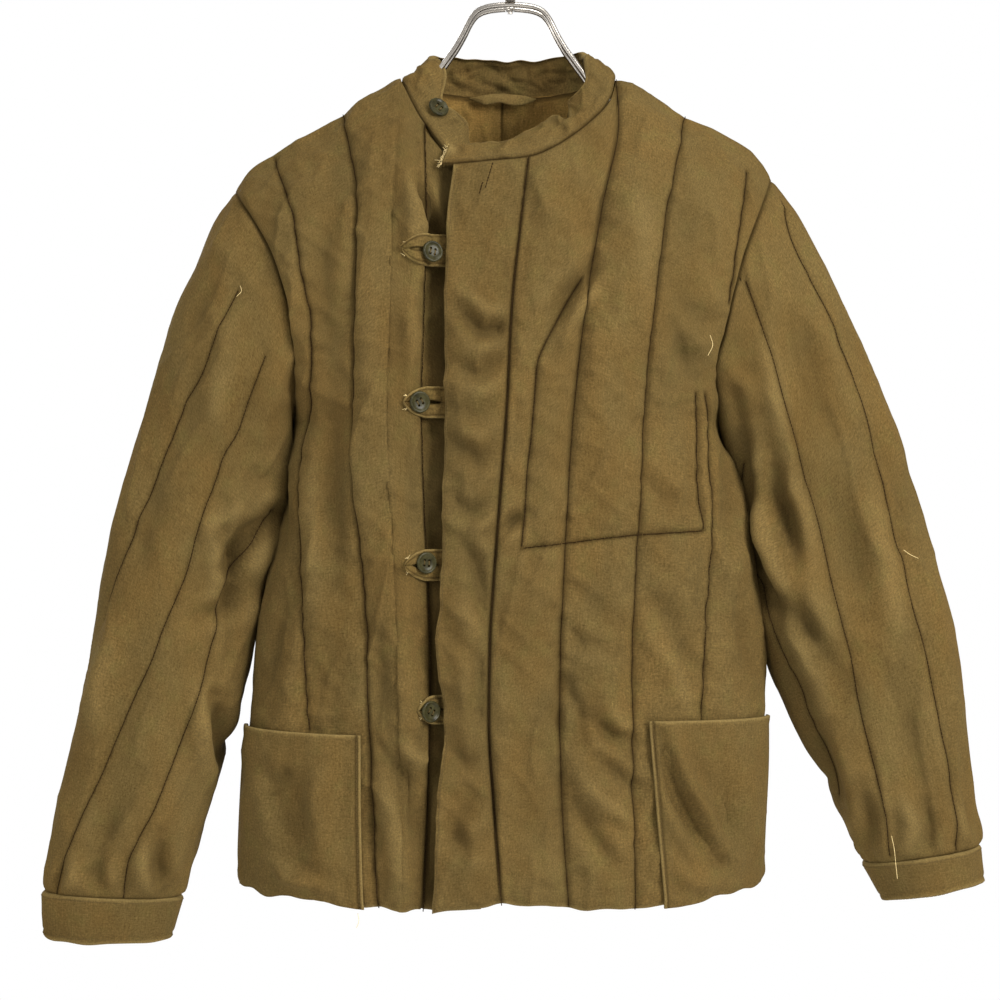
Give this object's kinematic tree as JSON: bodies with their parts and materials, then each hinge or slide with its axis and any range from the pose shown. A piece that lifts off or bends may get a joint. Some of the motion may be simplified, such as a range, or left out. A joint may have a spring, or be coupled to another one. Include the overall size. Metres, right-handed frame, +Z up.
{
  "type": "quilted jacket on a hanger",
  "caption": "Worn olive-khaki quilted cotton work jacket with a stand collar, loop-and-button front and patch pockets, hung on a chrome wire hanger",
  "frame": {"origin": "the inside top of the hanger's hook, where it bears on a rail", "axes": "+X to the wearer's left, -Y out of the front, +Z up"},
  "size_m": [0.802, 0.2025, 0.8677],
  "materials": {
    "cloth": "brushed cotton, faded and worn",
    "lining": "plain cotton lining",
    "buttons": "worn semi-gloss",
    "chrome": "polished"
  },
  "bodies": {
    "root": {"band_left": "cloth", "front_left": "cloth", "band_right": "cloth", "front_right": "cloth", "back": "cloth", "collar": "cloth", "sleeve_left_front": "cloth", "sleeve_left_back": "cloth", "sleeve_right_front": "cloth", "sleeve_right_back": "cloth", "cuff_left": "cloth", "cuff_right": "cloth", "pocket_left": "cloth", "pocket_right": "cloth", "lining_back": "lining", "hanging_loop": "lining", "tab_1": "cloth", "button_1": "buttons", "tab_2": "cloth", "button_2": "buttons", "tab_3": "cloth", "button_3": "buttons", "tab_4": "cloth", "button_4": "buttons", "button_collar": "buttons", "hanger_wire": "chrome", "hanger_plate": "chrome", "hanger_hook": "chrome", "hanger_nut": "chrome"}
  },
  "joints": []
}
